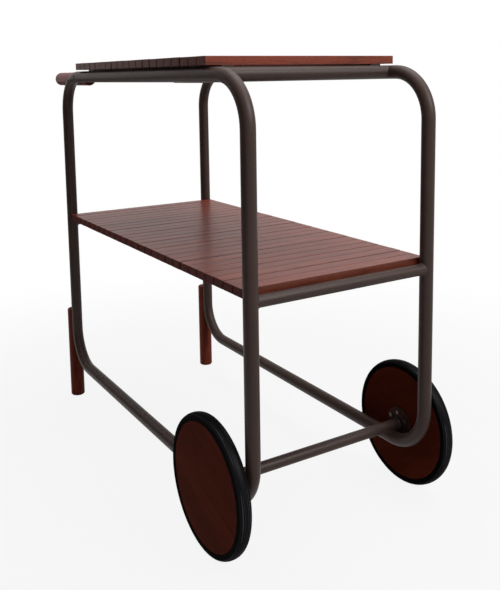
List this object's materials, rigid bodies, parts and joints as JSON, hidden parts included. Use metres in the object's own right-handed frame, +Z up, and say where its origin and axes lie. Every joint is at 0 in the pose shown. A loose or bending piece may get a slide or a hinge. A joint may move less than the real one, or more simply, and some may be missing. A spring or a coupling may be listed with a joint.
{
  "type": "bar cart",
  "caption": "Serving cart with looped tube sides, slatted wooden top and middle shelves, wooden legs and grips at one end and large disc wheels at the other.",
  "frame": {"origin": "on the floor, under the middle of the overall box", "axes": "+X along the cart towards the wheels, +Y across it, +Z up"},
  "size_m": [1.068, 0.496, 0.8972],
  "materials": {
    "frame_paint": "satin dark brown paint",
    "slat_wood": "reddish brown varnish",
    "turned_wood": "reddish brown varnish",
    "wheel_wood": "dark reddish brown varnish",
    "tyre_rubber": "black rubber",
    "hub_paint": "satin dark brown paint",
    "axle_steel": "turned steel",
    "bolt_steel": "darkened steel",
    "screw_steel": "painted over with the frame",
    "bush_bronze": "bronze",
    "washer_plastic": "black nylon"
  },
  "bodies": {
    "frame": {"top_front_cross_tube": "frame_paint", "top_rear_cross_tube": "frame_paint", "middle_front_cross_tube": "frame_paint", "middle_rear_cross_tube": "frame_paint", "axle_tube": "frame_paint", "top_shelf_slats": "slat_wood", "middle_shelf_slats": "slat_wood", "left_upper_hoop": "frame_paint", "left_lower_hoop": "frame_paint", "left_top_shelf_bar": "frame_paint", "left_middle_shelf_bar": "frame_paint", "left_leg": "turned_wood", "left_leg_screws": "screw_steel", "left_handle_grip": "turned_wood", "left_grip_screws": "screw_steel", "left_stub_axle": "axle_steel", "left_thrust_washer": "washer_plastic", "left_retaining_washer": "axle_steel", "left_circlip": "axle_steel", "right_upper_hoop": "frame_paint", "right_lower_hoop": "frame_paint", "right_top_shelf_bar": "frame_paint", "right_middle_shelf_bar": "frame_paint", "right_leg": "turned_wood", "right_leg_screws": "screw_steel", "right_handle_grip": "turned_wood", "right_grip_screws": "screw_steel", "right_stub_axle": "axle_steel", "right_thrust_washer": "washer_plastic", "right_retaining_washer": "axle_steel", "right_circlip": "axle_steel"},
    "left_wheel": {"left_wheel_disc": "wheel_wood", "left_tyre": "tyre_rubber", "left_hub_flange": "hub_paint", "left_hub_bush": "bush_bronze", "left_hub_bolts": "bolt_steel"},
    "right_wheel": {"right_wheel_disc": "wheel_wood", "right_tyre": "tyre_rubber", "right_hub_flange": "hub_paint", "right_hub_bush": "bush_bronze", "right_hub_bolts": "bolt_steel"}
  },
  "joints": [
    {"name": "left_wheel_spin", "type": "hinge", "parent": "frame", "child": "left_wheel", "pos_m": [0.404, -0.235, 0.13], "axis": [0, 1, 0], "continuous": true},
    {"name": "right_wheel_spin", "type": "hinge", "parent": "frame", "child": "right_wheel", "pos_m": [0.404, 0.235, 0.13], "axis": [0, 1, 0], "continuous": true}
  ]
}
